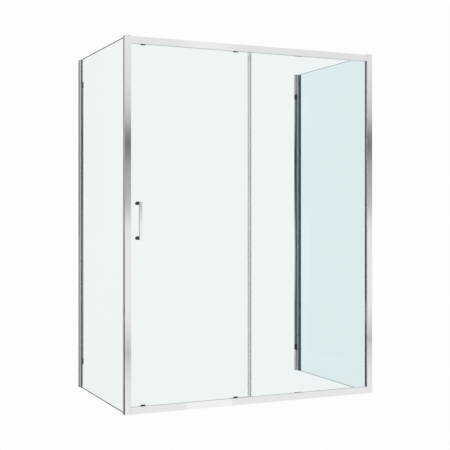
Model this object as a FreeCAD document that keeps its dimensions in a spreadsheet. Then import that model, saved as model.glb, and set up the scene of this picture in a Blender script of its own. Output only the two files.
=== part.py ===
import FreeCAD, Part
import os
from types import SimpleNamespace

import Sketcher

# Three-sided shower enclosure: a framed front with a sliding door, and two glass side panels that end in
# wall channels.
# X runs along the front to the right, Y into the shower, Z up.
# The origin is the middle of the sill rail's underside. All lengths are millimetres.

SIZES = {
    # the enclosure as a whole
    "overall_width": 1495,
    "overall_depth": 890,
    "overall_height": 1950,
    # aluminium front frame
    "post_width": 34,
    "frame_depth": 25,
    "frame_wall": 2,
    "rail_height": 37,
    "edge_round": 0.8,
    "side_groove_depth": 12,
    "fixed_groove_depth": 13,
    "track_edge": 22,
    "rib_centre": 18.5,
    "rib_width": 2,
    "rib_height": 3,
    "lip_height": 4,
    "post_cap_thickness": 3,
    "cap_plug_length": 10,
    "cap_plug_gap": 0.5,
    # brackets that carry the rails' ends, and their screws
    "bracket_length": 26,
    "bracket_depth": 8,
    "bracket_drop": 27,
    "bracket_screw_reach": 7,
    "screw_radius": 2,
    "screw_head_radius": 3.5,
    "screw_head_height": 2.4,
    "fit_gap": 0.05,
    # toughened glass and how it is bedded
    "glass_thickness": 6,
    "gasket_thickness": 1.5,
    "gasket_height": 10,
    "edge_clearance": 1,
    "setting_block_height": 4,
    "setting_block_length": 60,
    "filler_thickness": 2,
    "side_glass_inset": 8.5,
    "side_gasket_thickness": 1,
    "gasket_nose": 12,
    "bead_setback": 14.5,
    "bead_skirt": 1.2,
    "bead_reach": 5,
    "side_glass_top_drop": 0.5,
    "side_block_height": 1.5,
    # wall channel and the glass profile that slides in it
    "channel_wall": 1.5,
    "channel_depth": 20,
    "channel_outer_depth": 25,
    "profile_wall": 1.5,
    "profile_reach": 27,
    "profile_depth": 43,
    "pocket_depth": 25,
    "pocket_inner_drop": 13,
    "lock_slot": 7,
    "slide_gap": 0.3,
    "wall_cap_thickness": 3,
    "wall_hole_radius": 3,
    "wall_hole_spacing": 1440,
    # locks that hold the glass profile in the wall channel
    "lock_low_height": 153,
    "lock_high_drop": 146,
    "lock_height": 34,
    "lock_cover_depth": 17,
    "lock_cover_thickness": 2,
    "lock_screw_setback": 7.25,
    "lock_block_gap": 0.2,
    "lock_block_recess": 2,
    "cover_strip_thickness": 1.2,
    "cover_strip_tongue": 5,
    # magnetic closing seals
    "jamb_seal_offset": 2.8,
    "jamb_seal_width": 5.4,
    "seal_gap": 0.3,
    "seal_wall": 0.8,
    "seal_arm_thickness": 1,
    "door_seal_head": 6,
    "door_seal_arm": 3.5,
    "magnet_width": 2,
    # edge seals where the door laps the fixed panel
    "edge_seal_head": 1.3,
    "edge_seal_arm": 9,
    "trailing_seal_head": 2,
    "fin_thickness": 1.2,
    "fin_gap": 0.5,
    "fin_margin": 11,
    "seal_end_gap": 1,
    # sliding door
    "door_setback": 5,
    "panel_overlap": 30,
    "lap_offset": 29.5,
    "door_edge_clearance": 6,
    "finger_clearance": 55.2,
    "stop_length": 20,
    "stop_gap": 0.3,
    "glass_hole_radius": 6,
    "hole_gap": 0.1,
    # handle
    "handle_height": 198,
    "handle_width": 15,
    "handle_bar_depth": 11,
    "handle_round": 2,
    "handle_standoff": 45,
    "handle_leg_height": 18,
    "handle_centre_height": 997,
    "handle_edge_distance": 49,
    "handle_stud_radius": 3,
    "handle_stud_grip": 12,
    "handle_washer_thickness": 1,
    "handle_washer_radius": 7.5,
    "handle_cap_radius": 10,
    "handle_cap_length": 8,
    "cap_bore_depth": 5,
    # rollers
    "roller_lead_distance": 77,
    "roller_trail_distance": 96,
    "wheel_radius": 10,
    "wheel_groove_radius": 8.5,
    "wheel_width": 7,
    "wheel_groove_width": 2.6,
    "wheel_groove_slope": 0.6,
    "rolling_gap": 0.2,
    "axle_radius": 3,
    "axle_head_radius": 4.5,
    "axle_head_thickness": 1.2,
    "axle_head_gap": 0.2,
    "side_gap": 0.6,
    "carrier_width": 25,
    "carrier_rise": 10,
    "lug_gap": 0.5,
    "lug_height": 1.5,
    "roller_cap_radius": 13,
    "roller_cap_length": 7,
    # spring release of the lower rollers
    "release_travel": 4,
    "release_clearance": 0.5,
    "slider_depth": 5,
    "slider_width": 20,
    "button_width": 25,
    "button_height": 4,
    "housing_rail_width": 6,
    "housing_lift": 1.5,
    "housing_drop": 4,
    "ledge_height": 2,
    "spring_offset": 7,
    "spring_pocket_width": 4,
    "spring_pocket_depth": 3,
    "spring_pocket_rise": 15,
    "spring_thickness": 0.6,
    "spring_gap": 0.2,
}
SPRING_LEGS = 6

doc = FreeCAD.newDocument("shower_enclosure")
sheet = doc.addObject("Spreadsheet::Sheet", "sizes")
for row, (alias, number) in enumerate(SIZES.items(), start=1):
    sheet.set(f"A{row}", alias)
    sheet.set(f"B{row}", str(number))
    sheet.setAlias(f"B{row}", alias)
doc.recompute()


class Size:
    """A length that carries its number and the sheet formula that drives it."""

    def __init__(self, number, formula):
        self.number = number
        self.formula = formula

    @staticmethod
    def of(other):
        if isinstance(other, Size):
            return other
        return Size(other, f"({other})")

    def join(self, sign, other, number):
        return Size(number, f"({self.formula} {sign} {other.formula})")

    def __add__(self, other):
        other = Size.of(other)
        return self.join("+", other, self.number + other.number)

    def __sub__(self, other):
        other = Size.of(other)
        return self.join("-", other, self.number - other.number)

    def __mul__(self, other):
        other = Size.of(other)
        return self.join("*", other, self.number * other.number)

    def __truediv__(self, other):
        other = Size.of(other)
        return self.join("/", other, self.number / other.number)

    def __neg__(self):
        return self * -1


d = SimpleNamespace(**{alias: Size(number, f"sizes.{alias}") for alias, number in SIZES.items()})
nodes = []


def keep(label, thing):
    """Name a finished sub-part and list it for export."""
    thing.Label = label
    nodes.append(thing)
    return thing


def bind(thing, path, size):
    thing.setExpression(path, Size.of(size).formula)


def sketch_on(body, role, offset):
    """A sketch on one of the body's own origin planes, moved along that plane's normal."""
    sketch = body.newObject("Sketcher::SketchObject", "outline")
    plane = next(feature for feature in body.Origin.OriginFeatures if feature.Role == role)
    sketch.AttachmentSupport = [(plane, "")]
    sketch.MapMode = "FlatFace"
    bind(sketch, "AttachmentOffset.Base.z", offset)
    return sketch


def constrain(sketch, constraint, size):
    index = sketch.addConstraint(constraint)
    bind(sketch, f"Constraints[{index}]", size)


def hold(sketch, curve, point, across, up):
    """Fix a point of the sketch at its two sizes from the sketch's origin."""
    for kind, size in (("DistanceX", Size.of(across)), ("DistanceY", Size.of(up))):
        constrain(sketch, Sketcher.Constraint(kind, -1, 1, curve, point, size.number), size)


def draw_loop(sketch, corners):
    """A closed outline of straight edges."""
    first = sketch.GeometryCount
    spots = [FreeCAD.Vector(Size.of(across).number, Size.of(up).number, 0) for across, up in corners]
    for spot, after in zip(spots, spots[1:] + spots[:1]):
        sketch.addGeometry(Part.LineSegment(spot, after))
    for index, (across, up) in enumerate(corners):
        before = first + (index - 1) % len(corners)
        sketch.addConstraint(Sketcher.Constraint("Coincident", before, 2, first + index, 1))
        hold(sketch, first + index, 1, across, up)


def draw_circle(sketch, across, up, radius):
    centre = FreeCAD.Vector(Size.of(across).number, Size.of(up).number, 0)
    circle = sketch.addGeometry(Part.Circle(centre, FreeCAD.Vector(0, 0, 1), radius.number))
    hold(sketch, circle, 3, across, up)
    constrain(sketch, Sketcher.Constraint("Radius", circle, radius.number), radius)


# Sketch planes by the axis they face. The plane that faces Y has its normal towards -Y.
PLANES = {"x": "YZ_Plane", "y": "XZ_Plane", "z": "XY_Plane"}


def add_pad(body, axis, start, end, loops):
    """Material of one section along an axis, between two places on it."""
    sketch = sketch_on(body, PLANES[axis], -end if axis == "y" else start)
    for corners in loops:
        draw_loop(sketch, corners)
    pad = body.newObject("PartDesign::Pad", "bar")
    pad.Profile = sketch
    bind(pad, "Length", end - start)
    return pad


def extrude(name, axis, start, end, *loops):
    """A bar of one section. A second loop is a hollow along it."""
    body = doc.addObject("PartDesign::Body", name)
    add_pad(body, axis, start, end, loops)
    return body


def drill(body, axis, start, end, holes):
    """Round holes along an axis, between two places on it. Each hole is across, up and radius."""
    sketch = sketch_on(body, PLANES[axis], -start if axis == "y" else end)
    for across, up, radius in holes:
        draw_circle(sketch, across, up, radius)
    pocket = body.newObject("PartDesign::Pocket", "holes")
    pocket.Profile = sketch
    bind(pocket, "Length", end - start)


def mill(body, axis, start, end, *loops):
    """Pockets with straight sides along an axis, between two places on it."""
    sketch = sketch_on(body, PLANES[axis], -start if axis == "y" else end)
    for corners in loops:
        draw_loop(sketch, corners)
    pocket = body.newObject("PartDesign::Pocket", "recess")
    pocket.Profile = sketch
    bind(pocket, "Length", end - start)


def round_edges(body, radius, fits):
    """Round the edges of the body whose two ends both satisfy the test."""
    doc.recompute()
    tip = body.Tip
    chosen = []
    for index, edge in enumerate(tip.Shape.Edges, start=1):
        if all(fits(vertex.Point) for vertex in edge.Vertexes):
            chosen.append(f"Edge{index}")
    fillet = body.newObject("PartDesign::Fillet", "rounded")
    fillet.Base = (tip, chosen)
    bind(fillet, "Radius", radius)


def turn(name, axis, profile, x=0, y=0, z=0):
    """A turned piece. The profile's points are a place along the axis and a radius."""
    body = doc.addObject("PartDesign::Body", name)
    sketch = sketch_on(body, "XY_Plane", 0)
    along_x = axis == "x"
    draw_loop(sketch, [(along, radius) if along_x else (radius, along) for along, radius in profile])
    revolution = body.newObject("PartDesign::Revolution", "turned")
    revolution.Profile = sketch
    revolution.ReferenceAxis = (sketch, ["H_Axis" if along_x else "V_Axis"])
    for letter, place in (("x", x), ("y", y), ("z", z)):
        bind(body, f"Placement.Base.{letter}", place)
    return body


def block(name, x_span, y_span, z_span):
    """A plain rectangular piece between its low and high places."""
    box = doc.addObject("Part::Box", name)
    for letter, side, (low, high) in zip("xyz", ("Length", "Width", "Height"), (x_span, y_span, z_span)):
        bind(box, side, Size.of(high) - low)
        bind(box, f"Placement.Base.{letter}", low)
    return box


def group(label, pieces):
    """Like pieces that share one node."""
    compound = doc.addObject("Part::Compound", label)
    compound.Links = pieces
    return keep(label, compound)


def rectangle(across, up):
    """The corners of a rectangle from its two spans."""
    return [(across[0], up[0]), (across[1], up[0]), (across[1], up[1]), (across[0], up[1])]


LEFT, RIGHT = -1, 1
SIDES = {"left": LEFT, "right": RIGHT}
half_width = d.overall_width / 2
front = -d.frame_depth / 2
rail_top = d.overall_height - d.post_cap_thickness
rail_start = d.post_width - half_width
rail_end = half_width - d.post_width


def across(side, inset):
    """The X of a place that lies this far in from the enclosure's outer face."""
    return (half_width - inset) * side


def across_span(side, near, far):
    places = [across(side, near), across(side, far)]
    return sorted(places, key=lambda place: place.number)


def behind(depth):
    """The Y of a place that lies this far behind the front face."""
    return front + depth


def behind_span(near, far):
    return behind(near), behind(far)


# Depths behind the front face
fixed_front = d.frame_wall + d.gasket_thickness
fixed_back = fixed_front + d.glass_thickness
groove_back = fixed_back + d.gasket_thickness
groove_wall_back = groove_back + d.frame_wall
bead_back = d.frame_depth + d.bead_reach
door_front = d.frame_depth + d.door_setback
door_back = door_front + d.glass_thickness
wall_plane = d.overall_depth
channel_front = wall_plane - d.channel_depth
channel_outer_front = wall_plane - d.channel_outer_depth
profile_front = channel_front - d.profile_reach
profile_back = profile_front + d.profile_depth
pocket_back = profile_front + d.pocket_depth
pocket_inner_front = profile_front + d.pocket_inner_drop

# Insets from the outer face of each side
side_groove_near = d.side_glass_inset - d.side_gasket_thickness
side_glass_far = d.side_glass_inset + d.glass_thickness
side_groove_far = side_glass_far + d.side_gasket_thickness
profile_near = side_groove_near - d.profile_wall
slot_near = side_groove_far + d.profile_wall
slot_far = slot_near + d.lock_slot
profile_far = slot_far + d.profile_wall
channel_near = profile_near - d.slide_gap - d.channel_wall
flange_near = profile_far + d.slide_gap
channel_far = flange_near + d.channel_wall

# The door's place along the front, from the left outer face
jamb_near = side_groove_far + d.jamb_seal_offset
jamb_far = jamb_near + d.jamb_seal_width
door_seal_near = jamb_far + d.seal_gap
door_left = door_seal_near + d.door_seal_head
lap_middle = half_width - d.lap_offset
door_right = lap_middle + d.panel_overlap / 2
fixed_left = door_right - d.panel_overlap
handle_place = door_left + d.handle_edge_distance
handle_right = handle_place + d.handle_width / 2
door_travel = fixed_left - d.edge_seal_head - handle_right - d.finger_clearance
roller_places = {
    "left": door_left + d.roller_lead_distance,
    "right": door_right - d.roller_trail_distance,
}

# The rails' track: how far the roller axles lie from a rail's outer edge
track_drop = d.rail_height - d.frame_wall
rib_end = track_drop - d.rib_height
axle_drop = rib_end - d.wheel_groove_radius - d.rolling_gap
wheel_front = d.rib_centre - d.wheel_width / 2
wheel_back = wheel_front + d.wheel_width
carrier_front = wheel_back + d.side_gap
door_low = d.door_edge_clearance
door_high = rail_top - d.door_edge_clearance
sight_low = d.rail_height + d.seal_end_gap
sight_high = rail_top - sight_low


def along_front(place):
    """The X of a place this far from the left outer face."""
    return place - half_width


def along_span(near, far):
    return along_front(near), along_front(far)


def post_loops(side):
    """Section of a corner post: an outer box with a rear groove for the side glass, and its hollows.

    The outer rear corner is rebated for the glazing bead.
    """
    inner_wall = d.post_width - d.frame_wall
    back_wall = d.frame_depth - d.frame_wall
    groove_front = d.frame_depth - d.side_groove_depth
    hollow_back = groove_front - d.frame_wall
    pocket_near = side_groove_near - d.frame_wall
    pocket_far = side_groove_far + d.frame_wall
    rebate_wall = d.bead_skirt + d.frame_wall
    rebate_front = d.bead_setback - d.frame_wall
    shell = [
        (0, 0),
        (d.post_width, 0),
        (d.post_width, d.frame_depth),
        (side_groove_far, d.frame_depth),
        (side_groove_far, groove_front),
        (side_groove_near, groove_front),
        (side_groove_near, d.frame_depth),
        (d.bead_skirt, d.frame_depth),
        (d.bead_skirt, d.bead_setback),
        (0, d.bead_setback),
    ]
    hollow = [
        (d.frame_wall, d.frame_wall),
        (inner_wall, d.frame_wall),
        (inner_wall, back_wall),
        (pocket_far, back_wall),
        (pocket_far, hollow_back),
        (pocket_near, hollow_back),
        (pocket_near, back_wall),
        (rebate_wall, back_wall),
        (rebate_wall, rebate_front),
        (d.frame_wall, rebate_front),
    ]
    loops = [shell, hollow]
    if side == RIGHT:
        groove_bottom = d.post_width - d.fixed_groove_depth
        front_hollow_far = groove_bottom - d.frame_wall
        shell[2:2] = [
            (d.post_width, d.frame_wall),
            (groove_bottom, d.frame_wall),
            (groove_bottom, groove_back),
            (d.post_width, groove_back),
        ]
        hollow[1:5] = [
            (front_hollow_far, d.frame_wall),
            (front_hollow_far, hollow_back),
        ]
        loops.append(rectangle((pocket_far, inner_wall), (groove_wall_back, back_wall)))
    return [[(across(side, inset), behind(depth)) for inset, depth in loop] for loop in loops]


bracket_far = d.post_width + d.bracket_length
bracket_span = behind_span(groove_wall_back, groove_wall_back + d.bracket_depth)
bracket_screw_y = behind(groove_wall_back + d.bracket_depth / 2)
bracket_low = d.frame_wall
bracket_high = d.frame_wall + d.bracket_drop
bracket_screw_height = (bracket_low + bracket_high) / 2
screw_heights = [bracket_screw_height, rail_top - bracket_screw_height]
screw_hole = d.screw_radius + d.fit_gap


def make_posts():
    """Corner posts of bright aluminium tube with plastic end caps, drilled for the bracket screws."""
    caps = []
    for name, side in SIDES.items():
        post = extrude(f"{name}_post", "z", Size.of(0), rail_top, *post_loops(side))
        wall_low, wall_high = across_span(side, d.post_width - d.frame_wall, d.post_width)
        drill(post, "x", wall_low, wall_high, [(bracket_screw_y, z, screw_hole) for z in screw_heights])
        corners = [across(side, 0).number, across(side, d.post_width).number]
        near = d.edge_round.number / 2
        round_edges(
            post,
            d.edge_round,
            lambda p: abs(p.y - front.number) < near and min(abs(p.x - x) for x in corners) < near,
        )
        keep(f"{name}_post", post)
        plate = block(
            f"{name}_cap_plate",
            across_span(side, 0, d.post_width),
            behind_span(0, d.frame_depth),
            (rail_top, d.overall_height),
        )
        tab = block(
            f"{name}_cap_tab",
            across_span(side, 0, side_groove_near),
            behind_span(d.frame_depth, bead_back),
            (rail_top, d.overall_height),
        )
        plug_near = side_groove_far + d.frame_wall + d.cap_plug_gap
        plug_far = d.post_width - d.frame_wall - d.cap_plug_gap
        plug = block(
            f"{name}_cap_plug",
            across_span(side, plug_near, plug_far),
            behind_span(groove_wall_back + d.cap_plug_gap, d.frame_depth - d.frame_wall - d.cap_plug_gap),
            (rail_top - d.cap_plug_length, rail_top),
        )
        cap = doc.addObject("Part::MultiFuse", f"{name}_cap")
        cap.Shapes = [plate, tab, plug]
        caps.append(cap)
    group("post_end_caps", caps)


def rail_section(height_of):
    """Section of both rails, drawn from the rail's outer edge: glass groove in front, roller track behind."""
    rib_front = d.rib_centre - d.rib_width / 2
    rib_back = d.rib_centre + d.rib_width / 2
    lip_front = d.frame_depth - d.frame_wall
    lip_end = d.frame_wall + d.lip_height
    corners = [
        (0, 0),
        (0, d.rail_height),
        (d.frame_wall, d.rail_height),
        (d.frame_wall, d.frame_wall),
        (groove_back, d.frame_wall),
        (groove_back, d.rail_height),
        (d.track_edge, d.rail_height),
        (d.track_edge, track_drop),
        (rib_back, track_drop),
        (rib_back, rib_end),
        (rib_front, rib_end),
        (rib_front, track_drop),
        (groove_wall_back, track_drop),
        (groove_wall_back, d.frame_wall),
        (lip_front, d.frame_wall),
        (lip_front, lip_end),
        (d.frame_depth, lip_end),
        (d.frame_depth, 0),
    ]
    return [(behind(depth), height_of(drop)) for depth, drop in corners]


def down_from_top(drop):
    return rail_top - drop


def up_from_floor(drop):
    return Size.of(drop)


RAILS = {"head": down_from_top, "sill": up_from_floor}


def height_span(height_of, near, far):
    return sorted([height_of(near), height_of(far)], key=lambda place: place.number)


def make_rails():
    """Head and sill rails of one extrusion, cut between the posts, on brackets that screw to the posts."""
    brackets = []
    screws = []
    for name, height_of in RAILS.items():
        rail = extrude(f"{name}_rail", "x", rail_start, rail_end, rail_section(height_of))
        edges = [height_of(0).number, height_of(d.rail_height).number]
        near = d.edge_round.number / 2
        round_edges(
            rail,
            d.edge_round,
            lambda p: abs(p.y - front.number) < near and min(abs(p.z - z) for z in edges) < near,
        )
        keep(f"{name}_rail", rail)
        filler = block(
            f"{name}_filler_strip",
            (rail_start, along_front(fixed_left - d.edge_seal_head)),
            behind_span(d.frame_wall, groove_back),
            height_span(height_of, d.rail_height - d.filler_thickness, d.rail_height),
        )
        keep(f"{name}_filler_strip", filler)
        for side_name, side in SIDES.items():
            low, high = across_span(side, d.post_width, bracket_far)
            z_span = height_span(height_of, bracket_low, bracket_high)
            screw_z = height_of(bracket_screw_height)
            bracket = extrude(
                f"{name}_{side_name}_bracket", "x", low, high, rectangle(bracket_span, z_span)
            )
            drill(bracket, "x", low, high, [(bracket_screw_y, screw_z, screw_hole)])
            brackets.append(bracket)
            tip = d.post_width - d.bracket_screw_reach
            head_end = bracket_far + d.screw_head_height
            profile = [
                (across(side, tip), 0),
                (across(side, tip), d.screw_radius),
                (across(side, bracket_far), d.screw_radius),
                (across(side, bracket_far), d.screw_head_radius),
                (across(side, head_end), d.screw_head_radius),
                (across(side, head_end), 0),
            ]
            screws.append(
                turn(f"{name}_{side_name}_screw", "x", profile, y=bracket_screw_y, z=screw_z)
            )
    group("rail_brackets", brackets)
    group("bracket_screws", screws)


def make_fixed_panel():
    """Fixed front glass, bedded in the rails and the right post on rubber strips and setting blocks."""
    right_edge = d.post_width - d.fixed_groove_depth + d.edge_clearance
    glass_low = d.frame_wall + d.setting_block_height
    glass_high = rail_top - d.frame_wall - d.edge_clearance
    glass_span = (along_front(fixed_left), across(RIGHT, right_edge))
    outline = rectangle(glass_span, (glass_low, glass_high))
    keep("fixed_glass", extrude("fixed_glass", "y", *behind_span(fixed_front, fixed_back), outline))
    strip_depths = [(d.frame_wall, fixed_front), (fixed_back, groove_back)]
    strips = []
    for depth_span in strip_depths:
        y_span = behind_span(*depth_span)
        for height_of in RAILS.values():
            z_span = height_span(height_of, d.rail_height - d.gasket_height, d.rail_height)
            strips.append(block("rail_gasket", (along_front(fixed_left), rail_end), y_span, z_span))
        x_span = across_span(RIGHT, d.post_width - d.gasket_height, d.post_width)
        strips.append(block("post_gasket", x_span, y_span, (glass_low, glass_high)))
    group("fixed_glass_gaskets", strips)
    low, high = along_front(fixed_left), rail_end
    blocks = []
    for start in (low, high - d.setting_block_length):
        x_span = (start, start + d.setting_block_length)
        z_span = (d.frame_wall, glass_low)
        blocks.append(block("fixed_setting_block", x_span, behind_span(fixed_front, fixed_back), z_span))
    group("fixed_glass_setting_blocks", blocks)


def clip_corners(edge, head, arm, glass_span):
    """Section of a seal that clips over a glass edge. Head and arm are signed from the edge along X."""
    outer = (glass_span[0] - d.seal_arm_thickness, glass_span[1] + d.seal_arm_thickness)
    return [
        (edge + head, outer[0]),
        (edge + arm, outer[0]),
        (edge + arm, glass_span[0]),
        (edge, glass_span[0]),
        (edge, glass_span[1]),
        (edge + arm, glass_span[1]),
        (edge + arm, outer[1]),
        (edge + head, outer[1]),
    ]


def make_edge_seals():
    """Seals on the two glass edges that lap: each clips over its edge and wipes the other pane with a fin."""
    fixed_glass = behind_span(fixed_front, fixed_back)
    door_glass = behind_span(door_front, door_back)
    edge = along_front(fixed_left)
    corners = clip_corners(edge, -d.edge_seal_head, d.edge_seal_arm, fixed_glass)
    fixed_seal = extrude("fixed_edge_seal", "z", sight_low, sight_high, corners)
    fin_span = (fixed_glass[1] + d.seal_arm_thickness, door_glass[0] - d.fin_gap)
    fin_end = edge + d.edge_seal_arm
    fin_x = (fin_end - d.fin_thickness, fin_end)
    fin_low = d.rail_height + d.fin_margin
    add_pad(fixed_seal, "z", fin_low, rail_top - fin_low, [rectangle(fin_x, fin_span)])
    keep("fixed_edge_seal", fixed_seal)
    edge = along_front(door_right)
    corners = clip_corners(edge, d.trailing_seal_head, -d.edge_seal_arm, door_glass)
    door_seal = extrude("door_trailing_seal", "z", door_low, door_high, corners)
    fin_span = (fixed_glass[1] + d.fin_gap, door_glass[0] - d.seal_arm_thickness)
    fin_start = edge - d.edge_seal_arm
    fin_x = (fin_start, fin_start + d.fin_thickness)
    add_pad(door_seal, "z", sight_low, sight_high, [rectangle(fin_x, fin_span)])
    keep("door_trailing_seal", door_seal)


def make_magnetic_seals():
    """Magnetic closing seals: a hollow strip behind the left post and a clip on the door's leading edge."""
    y_span = behind_span(door_front, door_back)
    seal_back = y_span[1] + d.seal_arm_thickness
    magnet_far = jamb_far - d.seal_wall
    magnet_span = along_span(magnet_far - d.magnet_width, magnet_far)
    shell = rectangle(along_span(jamb_near, jamb_far), (behind(d.frame_depth), seal_back))
    jamb = extrude("jamb_magnet_seal", "z", door_low, door_high, shell, rectangle(magnet_span, y_span))
    keep("jamb_magnet_seal", jamb)
    keep("jamb_magnet_strip", block("jamb_magnet_strip", magnet_span, y_span, (door_low, door_high)))
    magnet_near = door_seal_near + d.seal_wall
    magnet_span = along_span(magnet_near, magnet_near + d.magnet_width)
    corners = clip_corners(along_front(door_left), -d.door_seal_head, d.door_seal_arm, y_span)
    seal = extrude("door_magnet_seal", "z", door_low, door_high, corners, rectangle(magnet_span, y_span))
    keep("door_magnet_seal", seal)
    keep("door_magnet_strip", block("door_magnet_strip", magnet_span, y_span, (door_low, door_high)))


channel_high = rail_top - d.wall_cap_thickness
wall_hole_inset = (channel_near + channel_far) / 2
wall_hole_middle = channel_high / 2
wall_hole_heights = [
    wall_hole_middle - d.wall_hole_spacing / 2,
    wall_hole_middle,
    wall_hole_middle + d.wall_hole_spacing / 2,
]
lock_heights = [d.lock_low_height, rail_top - d.lock_high_drop]
lock_y = behind(channel_front + d.lock_screw_setback)
slot_back = profile_back - d.profile_wall


def make_side_panels():
    """Glass side panels between the posts' rear grooves and the profiles that slide in the wall channels.

    A bead that is clipped on each post presses the pane's outer gasket.
    """
    channel_back = wall_plane - d.channel_wall
    inner_near = channel_near + d.channel_wall
    channel = [
        (channel_near, channel_outer_front),
        (inner_near, channel_outer_front),
        (inner_near, channel_back),
        (flange_near, channel_back),
        (flange_near, channel_front),
        (channel_far, channel_front),
        (channel_far, wall_plane),
        (channel_near, wall_plane),
    ]
    profile = [
        (profile_near, profile_front),
        (side_groove_near, profile_front),
        (side_groove_near, pocket_back),
        (side_groove_far, pocket_back),
        (side_groove_far, pocket_inner_front),
        (slot_near, pocket_inner_front),
        (slot_near, slot_back),
        (slot_far, slot_back),
        (slot_far, channel_front),
        (profile_far, channel_front),
        (profile_far, profile_back),
        (profile_near, profile_back),
    ]
    chamber = rectangle((side_groove_near, side_groove_far), (pocket_back + d.profile_wall, slot_back))
    glazing_bead = [
        (0, d.bead_setback),
        (0, bead_back),
        (side_groove_near, bead_back),
        (side_groove_near, d.frame_depth),
        (d.bead_skirt, d.frame_depth),
        (d.bead_skirt, d.bead_setback),
    ]
    nosed_gasket = [
        (profile_near, profile_front),
        (profile_near, profile_front - d.gasket_nose / 2),
        (d.side_glass_inset, profile_front - d.gasket_nose),
        (d.side_glass_inset, profile_front + d.gasket_height),
        (side_groove_near, profile_front + d.gasket_height),
        (side_groove_near, profile_front),
    ]
    inner_gasket_back = pocket_inner_front + d.gasket_height
    inner_gasket = rectangle((side_glass_far, side_groove_far), (pocket_inner_front, inner_gasket_back))
    glass_front = d.frame_depth - d.side_groove_depth + d.edge_clearance
    glass_back = pocket_back - d.edge_clearance
    glass_span = (d.side_block_height, rail_top - d.side_glass_top_drop)
    caps = []
    blocks = []
    beads = []
    for name, side in SIDES.items():

        def section(corners):
            return [(across(side, inset), behind(depth)) for inset, depth in corners]

        wall_channel = extrude(f"{name}_wall_channel", "z", Size.of(0), channel_high, section(channel))
        holes = [(across(side, wall_hole_inset), z, d.wall_hole_radius) for z in wall_hole_heights]
        drill(wall_channel, "y", *behind_span(channel_back, wall_plane), holes)
        lock_holes = [(lock_y, z, screw_hole) for z in lock_heights]
        drill(wall_channel, "x", *across_span(side, flange_near, channel_far), lock_holes)
        keep(f"{name}_wall_channel", wall_channel)
        glass_profile = extrude(
            f"{name}_glass_profile", "z", Size.of(0), channel_high, section(profile), section(chamber)
        )
        drill(glass_profile, "x", *across_span(side, slot_far, profile_far), lock_holes)
        keep(f"{name}_glass_profile", glass_profile)
        glass_x = across_span(side, d.side_glass_inset, side_glass_far)
        outline = rectangle(behind_span(glass_front, glass_back), glass_span)
        keep(f"{name}_side_glass", extrude(f"{name}_side_glass", "x", *glass_x, outline))
        beads.append(extrude("side_glazing_bead", "z", Size.of(0), rail_top, section(glazing_bead)))
        strips = []
        for near, far, mouth in (
            (side_groove_near, d.side_glass_inset, bead_back),
            (side_glass_far, side_groove_far, d.frame_depth),
        ):
            y_span = behind_span(mouth - d.gasket_height, mouth)
            strips.append(block("post_groove_gasket", across_span(side, near, far), y_span, glass_span))
        for outline in (nosed_gasket, inner_gasket):
            strips.append(extrude("profile_gasket", "z", glass_span[0], channel_high, section(outline)))
        group(f"{name}_side_gaskets", strips)
        for depth_span in ((glass_front, d.frame_depth), (profile_front, glass_back)):
            y_span = behind_span(*depth_span)
            blocks.append(block("side_setting_block", glass_x, y_span, (0, d.side_block_height)))
        cap_x = across_span(side, channel_near, channel_far)
        cap_y = behind_span(pocket_back + d.profile_wall, wall_plane)
        caps.append(block("wall_cap", cap_x, cap_y, (channel_high, rail_top)))
    group("side_glazing_beads", beads)
    group("side_glass_setting_blocks", blocks)
    group("wall_profile_caps", caps)


def make_locks():
    """Locks of the side panels: hooked covers, screwed to nut blocks in the glass profile's slot.

    A strip clips into the slot and hides it between the two locks of a side.
    """
    covers = []
    strips = []
    nut_blocks = []
    screws = []
    cover_far = channel_far + d.lock_cover_thickness
    head_far = cover_far + d.screw_head_height
    block_near = slot_near + d.lock_block_gap
    block_far = slot_far - d.lock_block_gap
    cover_front = channel_front - d.lock_cover_thickness
    cover_back = cover_front + d.lock_cover_depth
    hook = [
        (block_near, cover_front),
        (cover_far, cover_front),
        (cover_far, cover_back),
        (channel_far, cover_back),
        (channel_far, channel_front),
        (block_near, channel_front),
    ]
    strip_far = channel_far + d.cover_strip_thickness
    strip_front = channel_front - d.cover_strip_thickness
    tongue_back = channel_front + d.cover_strip_tongue
    clip = [
        (block_near, strip_front),
        (strip_far, strip_front),
        (strip_far, cover_back),
        (channel_far, cover_back),
        (channel_far, channel_front),
        (block_far, channel_front),
        (block_far, tongue_back),
        (block_near, tongue_back),
    ]
    strip_span = (lock_heights[0] + d.lock_height / 2, lock_heights[1] - d.lock_height / 2)
    for side in SIDES.values():
        outline = [(across(side, inset), behind(depth)) for inset, depth in clip]
        strips.append(extrude("wall_cover_strip", "z", *strip_span, outline))
        section = [(across(side, inset), behind(depth)) for inset, depth in hook]
        for z in lock_heights:
            z_span = (z - d.lock_height / 2, z + d.lock_height / 2)
            cover = extrude("lock_cover", "z", *z_span, section)
            drill(cover, "x", *across_span(side, channel_far, cover_far), [(lock_y, z, screw_hole)])
            covers.append(cover)
            y_span = behind_span(channel_front + d.lock_block_recess, slot_back - d.lock_block_recess)
            low, high = across_span(side, block_near, block_far)
            nut_block = extrude("lock_nut_block", "x", low, high, rectangle(y_span, z_span))
            drill(nut_block, "x", low, high, [(lock_y, z, screw_hole)])
            nut_blocks.append(nut_block)
            profile = [
                (across(side, block_near), 0),
                (across(side, block_near), d.screw_radius),
                (across(side, cover_far), d.screw_radius),
                (across(side, cover_far), d.screw_head_radius),
                (across(side, head_far), d.screw_head_radius),
                (across(side, head_far), 0),
            ]
            screws.append(turn("lock_screw", "x", profile, y=lock_y, z=z))
    group("wall_cover_strips", strips)
    group("lock_covers", covers)
    group("lock_nut_blocks", nut_blocks)
    group("lock_screws", screws)


roller_heights = {"top": rail_top - axle_drop, "bottom": axle_drop}
leg_offset = (d.handle_height - d.handle_leg_height) / 2
leg_heights = [d.handle_centre_height - leg_offset, d.handle_centre_height + leg_offset]


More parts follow.
